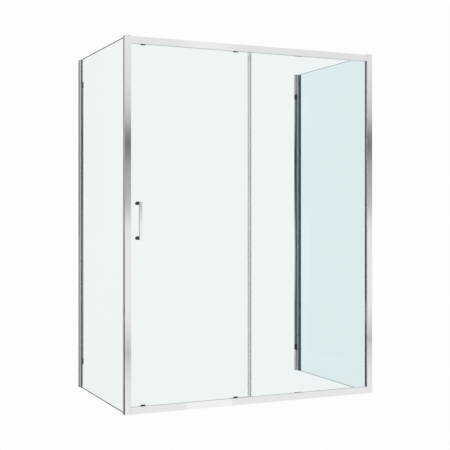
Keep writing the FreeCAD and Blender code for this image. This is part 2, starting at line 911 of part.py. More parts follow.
def make_door_glass():
    """Sliding pane, with holes for the rollers and for the handle's studs."""
    x_span = along_span(door_left, door_right)
    y_span = behind_span(door_front, door_back)
    glass = extrude("door_glass", "y", *y_span, rectangle(x_span, (door_low, door_high)))
    holes = [
        (along_front(place), z, d.glass_hole_radius)
        for place in roller_places.values()
        for z in roller_heights.values()
    ]
    holes += [(along_front(handle_place), z, d.glass_hole_radius) for z in leg_heights]
    drill(glass, "y", *y_span, holes)
    keep("door_glass", glass)


def cap_profile(radius, length, bore):
    """Turned cap with a blind bore, seated on the inner face of the door glass."""
    seat = behind(door_back)
    bottom = seat + d.cap_bore_depth
    return [
        (seat, bore),
        (seat, radius),
        (seat + length, radius),
        (seat + length, 0),
        (bottom, 0),
        (bottom, bore),
    ]


def make_handle():
    """Bow handle outside the door: a flat bar on two square legs, on studs that go through to inner caps."""
    x = along_front(handle_place)
    x_span = (x - d.handle_width / 2, x + d.handle_width / 2)
    bar_back = behind(door_front - d.handle_standoff)
    bar_span = (bar_back - d.handle_bar_depth, bar_back)
    z_low = d.handle_centre_height - d.handle_height / 2
    z_high = z_low + d.handle_height
    bar = extrude("handle_bar", "z", z_low, z_high, rectangle(x_span, bar_span))
    near = d.handle_round.number / 2
    round_edges(bar, d.handle_round, lambda p: abs(p.y - bar_span[0].number) < near)
    keep("handle_bar", bar)
    seat = behind(door_front) - d.handle_washer_thickness
    stud_start = seat - d.handle_stud_grip
    stud_end = behind(door_back) + d.cap_bore_depth
    hole = d.handle_stud_radius + d.fit_gap
    washer_radius = d.handle_washer_radius
    legs = []
    studs = []
    washers = []
    caps = []
    for z in leg_heights:
        z_span = (z - d.handle_leg_height / 2, z + d.handle_leg_height / 2)
        leg = extrude("handle_leg", "y", bar_back, seat, rectangle(x_span, z_span))
        drill(leg, "y", stud_start, seat, [(x, z, hole)])
        legs.append(leg)
        stud_profile = rectangle((stud_start, stud_end), (Size.of(0), d.handle_stud_radius))
        studs.append(turn("handle_stud", "y", stud_profile, x=x, z=z))
        washer_profile = rectangle((seat, behind(door_front)), (hole, washer_radius))
        washers.append(turn("handle_washer", "y", washer_profile, x=x, z=z))
        profile = cap_profile(d.handle_cap_radius, d.handle_cap_length, hole)
        caps.append(turn("handle_cap", "y", profile, x=x, z=z))
    group("handle_legs", legs)
    group("handle_studs", studs)
    group("handle_washers", washers)
    group("handle_inner_caps", caps)


axle_hole = d.axle_radius + d.fit_gap
head_back = wheel_front - d.axle_head_gap
head_front = head_back - d.axle_head_thickness


def axle_profile(end):
    """Turned axle with a thin head in front of its wheel."""
    return [
        (behind(head_front), 0),
        (behind(head_front), d.axle_head_radius),
        (behind(head_back), d.axle_head_radius),
        (behind(head_back), d.axle_radius),
        (end, d.axle_radius),
        (end, 0),
    ]


def make_wheels():
    """Grooved acetal wheels that run on the ribs of the rails."""
    floor_front = d.rib_centre - d.wheel_groove_width / 2
    floor_back = d.rib_centre + d.wheel_groove_width / 2
    profile = [
        (behind(wheel_front), axle_hole),
        (behind(wheel_front), d.wheel_radius),
        (behind(floor_front - d.wheel_groove_slope), d.wheel_radius),
        (behind(floor_front), d.wheel_groove_radius),
        (behind(floor_back), d.wheel_groove_radius),
        (behind(floor_back + d.wheel_groove_slope), d.wheel_radius),
        (behind(wheel_back), d.wheel_radius),
        (behind(wheel_back), axle_hole),
    ]
    for level, z in roller_heights.items():
        for name, place in roller_places.items():
            label = f"{level}_wheel_{name}"
            keep(label, turn(label, "y", profile, x=along_front(place), z=z))


def make_top_rollers():
    """Upper roller carriers with a lug under the track that keeps the wheel from jumping off it."""
    z = roller_heights["top"]
    seat = behind(door_front)
    low = rail_top - d.rail_height - d.lug_gap - d.lug_height
    lug_high = low + d.lug_height
    carriers = []
    axles = []
    bushes = []
    for place in roller_places.values():
        x = along_front(place)
        x_span = (x - d.carrier_width / 2, x + d.carrier_width / 2)
        outline = rectangle(x_span, (low, z + d.carrier_rise))
        carrier = extrude("top_carrier", "y", behind(carrier_front), seat, outline)
        lug = rectangle(x_span, (low, lug_high))
        add_pad(carrier, "y", behind(d.rib_centre), behind(carrier_front), [lug])
        drill(carrier, "y", behind(carrier_front), seat, [(x, z, axle_hole)])
        carriers.append(carrier)
        axles.append(turn("top_axle", "y", axle_profile(behind(door_back) + d.cap_bore_depth), x=x, z=z))
        bush_profile = rectangle(
            behind_span(door_front, door_back), (axle_hole, d.glass_hole_radius - d.hole_gap)
        )
        bushes.append(turn("top_bush", "y", bush_profile, x=x, z=z))
    group("top_roller_carriers", carriers)
    group("top_roller_axles", axles)
    group("top_roller_bushes", bushes)


slider_back = carrier_front + d.slider_depth
housing_low = d.frame_wall + d.lip_height + d.housing_lift
ledge_high = housing_low + d.ledge_height
housing_high = d.rail_height - d.housing_drop
slider_low = ledge_high + d.release_travel + d.release_clearance
button_low = housing_high + d.release_travel + d.release_clearance
button_high = button_low + d.button_height
pocket_high = slider_low + d.spring_pocket_rise


def make_release_slider(name, x):
    """Slider of a lower roller: its head is the push button, and it carries the wheel's axle."""
    z = roller_heights["bottom"]
    half_slider = d.slider_width / 2
    half_button = d.button_width / 2
    corners = [
        (x - half_slider, slider_low),
        (x + half_slider, slider_low),
        (x + half_slider, button_low),
        (x + half_button, button_low),
        (x + half_button, button_high),
        (x - half_button, button_high),
        (x - half_button, button_low),
        (x - half_slider, button_low),
    ]
    slider = extrude("release_slider", "y", *behind_span(carrier_front, slider_back), corners)
    drill(slider, "y", *behind_span(carrier_front, slider_back), [(x, z, axle_hole)])
    middle = behind(carrier_front + d.slider_depth / 2)
    half_depth = d.spring_pocket_depth / 2
    half_pocket = d.spring_pocket_width / 2
    centres = [x - d.spring_offset, x + d.spring_offset]
    pockets = [rectangle((c - half_pocket, c + half_pocket), (slider_low, pocket_high)) for c in centres]
    mill(slider, "y", middle - half_depth, middle + half_depth, *pockets)
    keep(f"release_slider_{name}", slider)
    axle = turn("release_axle", "y", axle_profile(behind(slider_back)), x=x, z=z)
    keep(f"release_axle_{name}", axle)
    springs = []
    swing = half_pocket - d.spring_gap
    half_thick = d.spring_thickness / 2
    rise = (pocket_high - ledge_high - d.spring_thickness) / SPRING_LEGS
    inner_swing = swing - d.spring_thickness * swing / rise
    depth = half_depth - d.spring_gap
    for centre in centres:
        right_edge = []
        left_edge = []
        for step in range(SPRING_LEGS + 1):
            height = ledge_high + half_thick + rise * step
            turn_ends = [height - half_thick, height + half_thick]
            if step % 2:
                right_edge.append((centre - inner_swing, height))
                left_edge.extend((centre - swing, end) for end in turn_ends)
            else:
                right_edge.extend((centre + swing, end) for end in turn_ends)
                if 0 < step < SPRING_LEGS:
                    left_edge.append((centre + inner_swing, height))
        zigzag = right_edge + left_edge[::-1]
        springs.append(extrude("release_spring", "y", middle - depth, middle + depth, zigzag))
    group(f"release_springs_{name}", springs)


def make_release_housing(x):
    """Guide of a release slider: a plate with two rails and a spring ledge, and a boss through the glass."""
    z = roller_heights["bottom"]
    seat = behind(door_front)
    plate_front = behind(slider_back + d.slide_gap)
    slot_half = d.slider_width / 2 + d.slide_gap
    outer_half = slot_half + d.housing_rail_width
    x_span = (x - outer_half, x + outer_half)
    housing = extrude(
        "release_housing", "y", plate_front, seat, rectangle(x_span, (housing_low, housing_high))
    )
    guide = [
        (x - outer_half, housing_low),
        (x + outer_half, housing_low),
        (x + outer_half, housing_high),
        (x + slot_half, housing_high),
        (x + slot_half, ledge_high),
        (x - slot_half, ledge_high),
        (x - slot_half, housing_high),
        (x - outer_half, housing_high),
    ]
    add_pad(housing, "y", behind(carrier_front), plate_front, [guide])
    for radius, start, length in (
        (d.glass_hole_radius - d.hole_gap, seat, d.glass_thickness),
        (d.axle_radius, seat + d.glass_thickness, d.cap_bore_depth),
    ):
        sketch = sketch_on(housing, PLANES["y"], -(start + length))
        draw_circle(sketch, x, z, radius)
        boss = housing.newObject("PartDesign::Pad", "boss")
        boss.Profile = sketch
        bind(boss, "Length", length)
    return housing


def make_bottom_rollers():
    """Lower rollers on spring-loaded sliders, so that the door's foot can be freed for cleaning."""
    housings = []
    for name, place in roller_places.items():
        x = along_front(place)
        housings.append(make_release_housing(x))
        make_release_slider(name, x)
    group("bottom_roller_housings", housings)


def make_roller_caps():
    """Round caps on the inner face of the door that hold the rollers."""
    caps = []
    for z in roller_heights.values():
        for place in roller_places.values():
            profile = cap_profile(d.roller_cap_radius, d.roller_cap_length, axle_hole)
            caps.append(turn("roller_cap", "y", profile, x=along_front(place), z=z))
    group("roller_inner_caps", caps)


def make_door_stops():
    """Rubber stops in both rails that the trailing wheels meet when the door is fully open."""
    start = roller_places["right"] + d.wheel_radius + door_travel + d.stop_gap
    x_span = along_span(start, start + d.stop_length)
    stops = [
        block(f"{name}_stop", x_span, bracket_span, height_span(height_of, bracket_low, bracket_high))
        for name, height_of in RAILS.items()
    ]
    group("door_stops", stops)


make_posts()
make_rails()
make_fixed_panel()
make_edge_seals()
make_magnetic_seals()
make_side_panels()
make_locks()
make_door_glass()
make_handle()
make_wheels()
make_top_rollers()
make_bottom_rollers()
make_roller_caps()
make_door_stops()
doc.recompute()

for thing in doc.Objects:
    if "Invalid" in thing.State or "Error" in thing.State:
        raise RuntimeError(f"{thing.Label} failed: {thing.State}")
    if thing.TypeId == "PartDesign::Pocket" and not thing.Shape.Volume < thing.BaseFeature.Shape.Volume:
        raise RuntimeError(f"{thing.Label} of {thing.getParent().Label} cuts nothing")
for node in nodes:
    if node.Shape.isNull() or not node.Shape.isValid():
        raise RuntimeError(f"{node.Label} has no valid shape")

os.makedirs("parts", exist_ok=True)
for node in nodes:
    node.Shape.exportStep(f"parts/{node.Label}.step")
    print(node.Label, len(node.Shape.Solids), round(node.Shape.Volume / 1000, 2), "cm3")
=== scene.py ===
import math

import bmesh
import bpy
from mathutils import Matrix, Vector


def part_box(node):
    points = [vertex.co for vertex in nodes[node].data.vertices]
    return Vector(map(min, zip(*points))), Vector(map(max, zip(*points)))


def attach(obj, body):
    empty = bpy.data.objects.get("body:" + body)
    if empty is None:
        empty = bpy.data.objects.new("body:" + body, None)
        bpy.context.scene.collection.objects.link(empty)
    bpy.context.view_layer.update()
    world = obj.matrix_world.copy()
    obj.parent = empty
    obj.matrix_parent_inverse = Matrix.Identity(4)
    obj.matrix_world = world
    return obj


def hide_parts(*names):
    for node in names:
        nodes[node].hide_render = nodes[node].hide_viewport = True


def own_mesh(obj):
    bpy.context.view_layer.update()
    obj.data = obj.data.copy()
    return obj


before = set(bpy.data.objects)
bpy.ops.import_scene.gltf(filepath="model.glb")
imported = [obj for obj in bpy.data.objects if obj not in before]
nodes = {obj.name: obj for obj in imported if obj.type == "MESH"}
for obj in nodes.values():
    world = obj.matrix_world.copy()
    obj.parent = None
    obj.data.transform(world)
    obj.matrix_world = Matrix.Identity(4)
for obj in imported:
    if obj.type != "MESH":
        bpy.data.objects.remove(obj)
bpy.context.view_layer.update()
scene = bpy.context.scene


# The corner posts are hollow aluminium extrusions, polished and bright anodised, so they mirror the room.
# The die leaves faint lines along them. They stand at the front corners and carry the rails and side panes.
def linear(hex_colour):
    """An sRGB hex colour as linear red, green, blue and alpha."""
    shares = [int(hex_colour[i:i + 2], 16) / 255 for i in (1, 3, 5)]
    return [s / 12.92 if s <= 0.04045 else ((s + 0.055) / 1.055) ** 2.4 for s in shares] + [1.0]


def add_node(tree, kind, inputs=None, stops=(), **settings):
    """Add a node to a tree with its settings and colour stops, and set or link its inputs."""
    node = tree.nodes.new(kind)
    for name, value in settings.items():
        setattr(node, name, value)
    for socket, value in (inputs or {}).items():
        for one in value if isinstance(value, tuple) else (value,):
            if isinstance(one, bpy.types.NodeSocket):
                tree.links.new(one, node.inputs[socket])
            else:
                node.inputs[socket].default_value = one
    if stops:
        elements = node.color_ramp.elements
        while len(elements) < len(stops):
            elements.new(0.5)
        for element, (at, colour) in zip(elements, stops):
            element.position = at
            element.color = colour
    return node


def new_material(name):
    """An empty material and its node tree."""
    material = bpy.data.materials.new(name)
    material.use_nodes = True
    material.node_tree.nodes.clear()
    return material, material.node_tree


def dress(material, *names):
    """Give CAD nodes their finish."""
    for name in names:
        slots = nodes[name].data.materials
        slots.clear()
        slots.append(material)


def anodised(name, lengthwise, roughness, metallic=1.0, colour="#E6E6E7"):
    """Anodised extrusion: die lines along one axis break up what it mirrors. They are drawn coarser than the
    real ones, so that they show."""
    material, tree = new_material(name)
    place = add_node(tree, "ShaderNodeTexCoord")
    line_mm, run_mm = 1.5, 400
    scale = [1000 / line_mm] * 3
    scale["XYZ".index(lengthwise)] = 1000 / run_mm
    drawn = add_node(tree, "ShaderNodeMapping", {"Vector": place.outputs["Object"], "Scale": scale})
    lines = add_node(tree, "ShaderNodeTexNoise", {"Vector": drawn.outputs["Vector"], "Scale": 1.0, "Detail": 2.0})
    smoothest, dullest = roughness * 0.7, roughness * 1.3
    rough = add_node(tree, "ShaderNodeMapRange", {
        "Value": lines.outputs["Fac"], "From Min": 0.3, "From Max": 0.7, "To Min": smoothest, "To Max": dullest})
    bump = add_node(tree, "ShaderNodeBump", {
        "Height": lines.outputs["Fac"], "Strength": 0.04, "Distance": 0.0002})
    metal = add_node(tree, "ShaderNodeBsdfPrincipled", {
        "Base Color": linear(colour), "Metallic": metallic, "Roughness": rough.outputs["Result"],
        "Normal": bump.outputs["Normal"]})
    add_node(tree, "ShaderNodeOutputMaterial", {"Surface": metal.outputs["BSDF"]})
    return material


upright_aluminium = anodised("bright_aluminium_upright", lengthwise="Z", roughness=0.07)
dress(upright_aluminium, "left_post", "right_post")


# The caps on the posts are injection moulded ABS with a coat of metal steamed on in a vacuum.
# The coat keeps a little of the mould's grain. Each cap is plugged into the post's hollow.
def grained(name, colours, roughness, grain_mm, metallic=0.0):
    """Moulded or cast finish: cloudy between two close colours, with a fine grain that softens its shine.
    The grain is drawn coarser than the real one, so that it shows."""
    material, tree = new_material(name)
    place = add_node(tree, "ShaderNodeTexCoord")
    cloud_mm = 18
    cloud = add_node(tree, "ShaderNodeTexNoise", {
        "Vector": place.outputs["Object"], "Scale": 1000 / cloud_mm, "Detail": 2.0})
    darker, paler = map(linear, colours)
    tint = add_node(tree, "ShaderNodeValToRGB", {"Fac": cloud.outputs["Fac"]}, stops=[(0.35, darker), (0.65, paler)])
    grain = add_node(tree, "ShaderNodeTexNoise", {
        "Vector": place.outputs["Object"], "Scale": 1000 / grain_mm, "Detail": 3.0})
    smoothest, dullest = roughness * 0.8, roughness * 1.2
    rough = add_node(tree, "ShaderNodeMapRange", {
        "Value": grain.outputs["Fac"], "To Min": smoothest, "To Max": dullest})
    bump = add_node(tree, "ShaderNodeBump", {
        "Height": grain.outputs["Fac"], "Strength": 0.15, "Distance": 0.0001})
    body = add_node(tree, "ShaderNodeBsdfPrincipled", {
        "Base Color": tint.outputs["Color"], "Metallic": metallic, "Roughness": rough.outputs["Result"],
        "Normal": bump.outputs["Normal"]})
    add_node(tree, "ShaderNodeOutputMaterial", {"Surface": body.outputs["BSDF"]})
    return material


dress(grained("metal_coated_abs", ("#E2E2E3", "#E8E8E9"), roughness=0.14, grain_mm=0.8, metallic=1.0),
      "post_end_caps")


# The head rail and the sill rail are the same kind of extrusion as the posts, cut to fit between them.
# Where the fixed pane leaves their glass groove empty, an extruded PVC strip is clipped in: a silver-grey one
# in the head, and in the sill the same strip painted darker, slate, as shade along the sill's inner edge.
level_aluminium = anodised("bright_aluminium_level", lengthwise="X", roughness=0.07)
dress(level_aluminium, "head_rail", "sill_rail")
dress(grained("silver_pvc", ("#8E9193", "#949799"), roughness=0.32, grain_mm=0.8), "head_filler_strip")
# The sill's strip is painted darker than the head's as painted shade along the sill's inner edge.
dress(grained("sill_pvc_painted_shade", ("#54585A", "#5A5E60"), roughness=0.4, grain_mm=0.8), "sill_filler_strip")


# Each end of a rail sits on a bracket of grey glass-filled nylon, which is screwed to the post.
# The screws are zinc-plated steel with a button head and a cross recess.
def sized_tree(name, sizes, made):
    """A node tree that takes points, named sizes and a material, and the sockets of these inputs."""
    tree = bpy.data.node_groups.new(name, "GeometryNodeTree")
    tree.interface.new_socket("Points", in_out="INPUT", socket_type="NodeSocketGeometry")
    for size in sizes:
        tree.interface.new_socket(size, in_out="INPUT", socket_type="NodeSocketFloat")
    tree.interface.new_socket("Material", in_out="INPUT", socket_type="NodeSocketMaterial")
    tree.interface.new_socket(made, in_out="OUTPUT", socket_type="NodeSocketGeometry")
    return tree, add_node(tree, "NodeGroupInput").outputs


def copies_on_points(tree, size, shape, made):
    """End a node tree: copies of its shape on the points, each turned to its point's facing."""
    facing = add_node(tree, "GeometryNodeInputNamedAttribute", {"Name": "facing"}, data_type="FLOAT_VECTOR")
    turned = add_node(tree, "FunctionNodeAlignRotationToVector", {"Vector": facing.outputs["Attribute"]}, axis="Z")
    placed = add_node(tree, "GeometryNodeInstanceOnPoints", {
        "Points": size["Points"], "Instance": shape, "Rotation": turned.outputs[0]})
    real = add_node(tree, "GeometryNodeRealizeInstances", {"Geometry": placed.outputs[0]})
    done = add_node(tree, "GeometryNodeSetMaterial", {
        "Geometry": real.outputs[0], "Material": size["Material"]})
    add_node(tree, "NodeGroupOutput", {made: done.outputs[0]})


def screw_tree():
    """Node tree that sets out screws: the upper half of a flattened ball with two crossed slots, on a shank."""
    tree, size = sized_tree("screws", (
        "Head Radius", "Head Height", "Shank Radius", "Shank Length", "Recess Length", "Recess Width",
        "Recess Depth"), "Screws")
    ball = add_node(tree, "GeometryNodeMeshUVSphere", {"Segments": 40, "Rings": 20, "Radius": 1.0})
    shape = add_node(tree, "ShaderNodeCombineXYZ", {
        "X": size["Head Radius"], "Y": size["Head Radius"], "Z": size["Head Height"]})
    dome = add_node(tree, "GeometryNodeTransform", {"Geometry": ball.outputs["Mesh"], "Scale": shape.outputs[0]})
    # A block takes off the ball's lower half. It is wider than the head, and its top is the head's seat.
    width = add_node(tree, "ShaderNodeMath", {0: size["Head Radius"], 1: 4.0}, operation="MULTIPLY")
    block_size = add_node(tree, "ShaderNodeCombineXYZ", {
        "X": width.outputs[0], "Y": width.outputs[0], "Z": width.outputs[0]})
    block = add_node(tree, "GeometryNodeMeshCube", {"Size": block_size.outputs[0]})
    drop = add_node(tree, "ShaderNodeMath", {0: width.outputs[0], 1: -0.5}, operation="MULTIPLY")
    block_place = add_node(tree, "ShaderNodeCombineXYZ", {"Z": drop.outputs[0]})
    below = add_node(tree, "GeometryNodeTransform", {
        "Geometry": block.outputs["Mesh"], "Translation": block_place.outputs[0]})
    # The slots' boxes are centred on the crown, so half of their depth cuts.
    depth = add_node(tree, "ShaderNodeMath", {0: size["Recess Depth"], 1: 2.0}, operation="MULTIPLY")
    crown = add_node(tree, "ShaderNodeCombineXYZ", {"Z": size["Head Height"]})
    slots = []
    for along, over in (("X", "Y"), ("Y", "X")):
        slot_size = add_node(tree, "ShaderNodeCombineXYZ", {
            along: size["Recess Length"], over: size["Recess Width"], "Z": depth.outputs[0]})
        slot = add_node(tree, "GeometryNodeMeshCube", {"Size": slot_size.outputs[0]})
        slots.append(add_node(tree, "GeometryNodeTransform", {
            "Geometry": slot.outputs["Mesh"], "Translation": crown.outputs[0]}).outputs[0])
    head = add_node(tree, "GeometryNodeMeshBoolean", {
        "Mesh 1": dome.outputs[0], "Mesh 2": (below.outputs[0], *slots)}, operation="DIFFERENCE", solver="EXACT")
    rod = add_node(tree, "GeometryNodeMeshCylinder", {
        "Vertices": 24, "Radius": size["Shank Radius"], "Depth": size["Shank Length"]})
    half = add_node(tree, "ShaderNodeMath", {0: size["Shank Length"], 1: -0.5}, operation="MULTIPLY")
    rod_place = add_node(tree, "ShaderNodeCombineXYZ", {"Z": half.outputs[0]})
    shank = add_node(tree, "GeometryNodeTransform", {
        "Geometry": rod.outputs["Mesh"], "Translation": rod_place.outputs[0]})
    screw = add_node(tree, "GeometryNodeJoinGeometry", {"Geometry": (head.outputs["Mesh"], shank.outputs[0])})
    copies_on_points(tree, size, screw.outputs[0], "Screws")
    return tree


def set_out(name, tree, points, material, sizes, body, slot, *replaced):
    """Run a node tree on points with facings, and leave its result as one plain piece of a body."""
    seeds = bpy.data.meshes.new(name)
    seeds.from_pydata([place for place, _ in points], [], [])
    facing = seeds.attributes.new("facing", "FLOAT_VECTOR", "POINT")
    for entry, (_, way) in zip(facing.data, points):
        entry.vector = way
    piece = bpy.data.objects.new(name, seeds)
    scene.collection.objects.link(piece)
    modifier = piece.modifiers.new("set_out", "NODES")
    modifier.node_group = tree
    sockets = {item.name: item.identifier for item in tree.interface.items_tree if item.in_out == "INPUT"}
    for size, value in sizes.items():
        modifier[sockets[size]] = value
    modifier[sockets["Material"]] = material
    made = piece.evaluated_get(bpy.context.evaluated_depsgraph_get())
    mesh = bpy.data.meshes.new_from_object(made)
    piece.modifiers.clear()
    piece.data = mesh
    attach(piece, body)
    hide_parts(*replaced)


def zinc_plate(name, colours):
    """Bright zinc plate: the faint spangle that the bath leaves gives it a patchy shine."""
    material, tree = new_material(name)
    place = add_node(tree, "ShaderNodeTexCoord")
    spangle_mm = 2.5
    spangle = add_node(tree, "ShaderNodeTexVoronoi", {
        "Vector": place.outputs["Object"], "Scale": 1000 / spangle_mm})
    darker, paler = map(linear, colours)
    tint = add_node(tree, "ShaderNodeValToRGB", {"Fac": spangle.outputs["Distance"]},
                    stops=[(0.2, darker), (0.8, paler)])
    rough = add_node(tree, "ShaderNodeMapRange", {
        "Value": spangle.outputs["Distance"], "To Min": 0.22, "To Max": 0.34})
    metal = add_node(tree, "ShaderNodeBsdfPrincipled", {
        "Base Color": tint.outputs["Color"], "Metallic": 1.0, "Roughness": rough.outputs["Result"]})
    add_node(tree, "ShaderNodeOutputMaterial", {"Surface": metal.outputs["BSDF"]})
    return material


grey_nylon = grained("grey_nylon", ("#8A8D8F", "#919496"), roughness=0.45, grain_mm=0.8)
dress(grey_nylon, "rail_brackets")
plated_steel = zinc_plate("zinc_plated_steel", ("#C4C8CC", "#D2D5D9"))
screws = screw_tree()
button_head = {
    "Head Radius": 0.0035, "Head Height": 0.0024, "Shank Radius": 0.002, "Shank Length": 0.009,
    "Recess Length": 0.0042, "Recess Width": 0.0009, "Recess Depth": 0.0014}
left_right = (-1, 1)
bracket_x, bracket_y, bracket_heights = 0.6875, 0.0045, (0.0155, 1.9315)
set_out("bracket_screw_heads", screws,
        [((side * bracket_x, bracket_y, z), (-side, 0, 0)) for side in left_right for z in bracket_heights],
        plated_steel, button_head, "frame", "steel", "bracket_screws")


# The fixed front pane is toughened float glass, 6 mm thick, with ground and polished edges.
# The iron in it tints it a faint green. EPDM strips bed it in the rails and blocks carry its weight.
def float_glass(name, thickness_axis, tint, cut_colour, pane, shade_band_mm):
    """Clear pane: each face tints what is behind it and mirrors a little, with the slow waves of toughening.
    The cut edges look dark. A narrow band of each face at the top and the bottom, where the pane runs into the
    rails, is painted shade in the same dark colour.
    The grit of the grinding is drawn coarser than the real one, so that it shows."""
    material, tree = new_material(name)
    place = add_node(tree, "ShaderNodeTexCoord")
    wave_mm = 120
    waves = add_node(tree, "ShaderNodeTexNoise", {
        "Vector": place.outputs["Object"], "Scale": 1000 / wave_mm, "Detail": 1.0})
    drawn = add_node(tree, "ShaderNodeBump", {"Height": waves.outputs["Fac"], "Strength": 0.02, "Distance": 0.001})
    facing = add_node(tree, "ShaderNodeSeparateXYZ", {"Vector": place.outputs["Normal"]})
    across = add_node(tree, "ShaderNodeMath", {0: facing.outputs[thickness_axis]}, operation="ABSOLUTE")
    half_turned = 0.5
    edge = add_node(tree, "ShaderNodeMath", {0: across.outputs[0], 1: half_turned}, operation="LESS_THAN")
    low, high = (corner[2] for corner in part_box(pane))
    height = add_node(tree, "ShaderNodeSeparateXYZ", {"Vector": place.outputs["Object"]})
    above = add_node(tree, "ShaderNodeMath", {0: height.outputs["Z"], 1: (low + high) / 2}, operation="SUBTRACT")
    away = add_node(tree, "ShaderNodeMath", {0: above.outputs[0]}, operation="ABSOLUTE")
    # Painted shade: a band this wide at the top and the bottom of the pane, where it runs into the rails, takes the
    # dark cut colour.
    band = add_node(tree, "ShaderNodeMath", {
        0: away.outputs[0], 1: (high - low) / 2 - shade_band_mm / 1000}, operation="GREATER_THAN")
    cut_edge_and_shade_band = add_node(tree, "ShaderNodeMath", {0: edge.outputs[0], 1: band.outputs[0]}, operation="MAXIMUM")
    clear = add_node(tree, "ShaderNodeBsdfTransparent", {"Color": linear(tint)})
    gloss = add_node(tree, "ShaderNodeBsdfGlossy", {
        "Color": linear("#FFFFFF"), "Roughness": 0.02, "Normal": drawn.outputs["Normal"]})
    fresnel = add_node(tree, "ShaderNodeFresnel", {"IOR": 1.5})
    mirror_share = 0.03
    mirrored = add_node(tree, "ShaderNodeMath", {0: fresnel.outputs[0], 1: mirror_share}, operation="MULTIPLY")
    face = add_node(tree, "ShaderNodeMixShader", {
        0: mirrored.outputs[0], 1: clear.outputs[0], 2: gloss.outputs[0]})
    grit_mm = 0.6
    grit = add_node(tree, "ShaderNodeTexNoise", {
        "Vector": place.outputs["Object"], "Scale": 1000 / grit_mm, "Detail": 2.0})
    matt = add_node(tree, "ShaderNodeMapRange", {"Value": grit.outputs["Fac"], "To Min": 0.25, "To Max": 0.45})
    cut = add_node(tree, "ShaderNodeBsdfPrincipled", {
        "Base Color": linear(cut_colour), "Roughness": matt.outputs["Result"]})
    whole = add_node(tree, "ShaderNodeMixShader", {
        0: cut_edge_and_shade_band.outputs[0], 1: face.outputs[0], 2: cut.outputs[0]})
    add_node(tree, "ShaderNodeOutputMaterial", {"Surface": whole.outputs[0]})
    return material


front_glass = float_glass("float_glass_front", thickness_axis="Y", tint="#F8FBFB", cut_colour="#8E8E90",
                          pane="fixed_glass", shade_band_mm=1.5)
dress(front_glass, "fixed_glass")
pale_rubber = grained("pale_grey_epdm", ("#BFC3C4", "#C6CACB"), roughness=0.6, grain_mm=0.5)
dress(pale_rubber, "fixed_glass_gaskets", "fixed_glass_setting_blocks")


# The side panes are the same glass. Each stands in a groove of its post, behind a clipped bead of grey PVC, and
# in a pocket of its satin wall profile, between dark grey EPDM strips; the left strips are painted near black as
# shade.
# The profile slides in a bright channel that is screwed to the wall.
# The last number is the width of the painted shade band where each pane runs into the rails.
for side, tint, shade_band_mm in (("left", "#F9FCFC", 1.5), ("right", "#F6FBFC", 0.7)):
    pane = f"{side}_side_glass"
    dress(float_glass(f"float_glass_{side}", "X", tint, "#1A2323", pane, shade_band_mm), pane)
dark_rubber = grained("dark_epdm", ("#444F53", "#4A5559"), roughness=0.55, grain_mm=0.5)
dress(dark_rubber, "right_side_gaskets", "side_glass_setting_blocks")
# The left strips are the same rubber as the right ones, painted near black as the shade in their pocket.
dress(grained("epdm_painted_shade", ("#1C2225", "#22292C"), roughness=0.55, grain_mm=0.5), "left_side_gaskets")
dress(upright_aluminium, "left_wall_channel", "right_wall_channel")
satin_aluminium = anodised("satin_aluminium", lengthwise="Z", roughness=0.45, metallic=0.55)
dress(satin_aluminium, "left_glass_profile", "right_glass_profile")
dress(grained("grey_pvc", ("#9A9B9D", "#A0A1A3"), roughness=0.4, grain_mm=0.8), "side_glazing_beads")


# Black nylon covers lock each profile in its channel: a screw draws a nut block against the channel's flange.
# A strip faced with blue-grey metal foil hides the slot between the two locks, and black caps close the
# profiles at the top.
black_nylon = grained("black_nylon", ("#0E0F10", "#131415"), roughness=0.45, grain_mm=0.8)
dress(black_nylon, "wall_profile_caps", "lock_covers", "lock_nut_blocks")
dress(anodised("blue_grey_foil", lengthwise="Z", roughness=0.1, colour="#78878D"), "wall_cover_strips")
black_steel = zinc_plate("blackened_steel", ("#2A2B2D", "#36383A"))
lock_x, lock_y, lock_heights = 0.7182, 0.86475, (0.153, 1.801)
lock_screw = dict(button_head, **{"Shank Length": 0.0121})
set_out("lock_screw_heads", screws,
        [((side * lock_x, lock_y, z), (-side, 0, 0)) for side in left_right for z in lock_heights],
        black_steel, lock_screw, "frame", "steel", "lock_screws")


# Clear PVC strips are clipped on the two glass edges that lap, and their fins close the gap between the panes.
# The door's one is a little smoky. A softer pair at the closing post holds a magnet strip each. The die leaves
# flow lines in them, drawn coarser than the real ones, so that they show.
colour_a, colour_b, mixed_colour = 6, 7, 2  # the sockets of a Mix node that mixes colours


